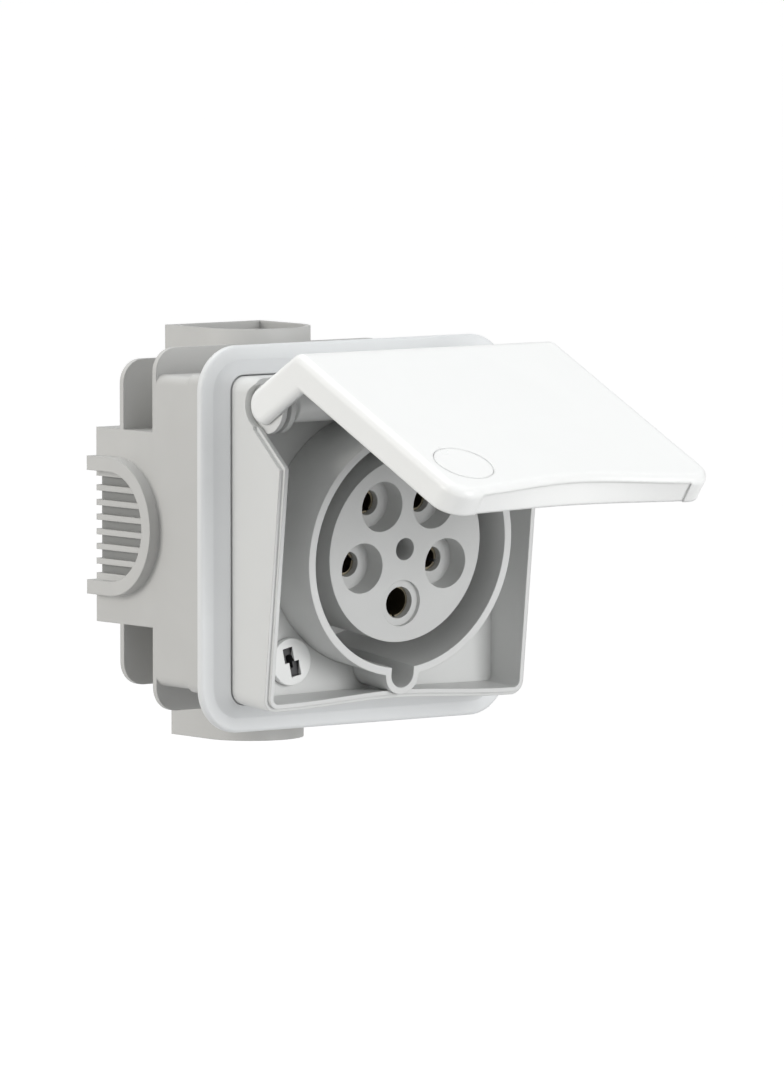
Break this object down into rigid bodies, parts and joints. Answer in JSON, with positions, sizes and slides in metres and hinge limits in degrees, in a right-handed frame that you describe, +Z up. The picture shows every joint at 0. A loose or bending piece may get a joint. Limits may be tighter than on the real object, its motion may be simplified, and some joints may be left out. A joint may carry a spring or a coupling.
{
  "type": "industrial wall socket",
  "caption": "Flush wall socket for a round pin-and-sleeve plug: square cover frame, tilted keyed sleeve with pin holes, sprung hinged lid and back box with conduit entries.",
  "frame": {"origin": "centre of the square cover frame, on the finished face of the wall", "axes": "+X to the right along the wall seen from the room, +Y into the wall, +Z up"},
  "size_m": [0.096, 0.1515, 0.1039],
  "materials": {
    "lid_plastic": "white satin moulding",
    "housing_plastic": "light grey moulding with a fine satin surface",
    "frame_plastic": "light grey moulding with a fine satin surface",
    "insert_plastic": "mid grey moulding",
    "box_plastic": "light grey moulding",
    "contact_brass": "turned brass",
    "spring_steel": "drawn wire",
    "screw_steel": "zinc plated",
    "seal_rubber": "dark moulded rubber",
    "foam_rubber": "closed cell foam"
  },
  "bodies": {
    "socket": {"back_box": "box_plastic", "cover_frame": "frame_plastic", "wall_seal": "foam_rubber", "housing_seal": "seal_rubber", "socket_housing": "housing_plastic", "plug_sleeve": "housing_plastic", "contact_carrier": "insert_plastic", "carrier_clamps": "insert_plastic", "terminal_block": "insert_plastic", "contact_earth": "contact_brass", "contact_n": "contact_brass", "contact_l3": "contact_brass", "contact_l2": "contact_brass", "contact_l1": "contact_brass", "contact_springs": "spring_steel", "terminal_screws": "screw_steel", "centre_screw": "screw_steel", "carrier_screws": "screw_steel", "hinge_pin": "screw_steel", "hinge_spring": "spring_steel", "lock_seals": "seal_rubber"},
    "lid": {"lid": "lid_plastic", "lid_marker": "lid_plastic", "lid_seal": "seal_rubber"},
    "lock_left": {"lock_screw_left": "lid_plastic"},
    "lock_right": {"lock_screw_right": "lid_plastic"}
  },
  "joints": [
    {"name": "lid_hinge", "type": "hinge", "parent": "socket", "child": "lid", "pos_m": [0, -0.0154, 0.034], "axis": [-1, 0, 0], "range_deg": [-71, 25], "stiffness_Nm_per_rad": 0.06, "springref_deg": -120.32},
    {"name": "lock_left_turn", "type": "hinge", "parent": "socket", "child": "lock_left", "pos_m": [-0.0255, 0, -0.0305], "axis": [0, 1, 0], "range_deg": [0, 90]},
    {"name": "lock_right_turn", "type": "hinge", "parent": "socket", "child": "lock_right", "pos_m": [0.0278, 0, 0.026], "axis": [0, 1, 0], "range_deg": [0, 90]}
  ]
}
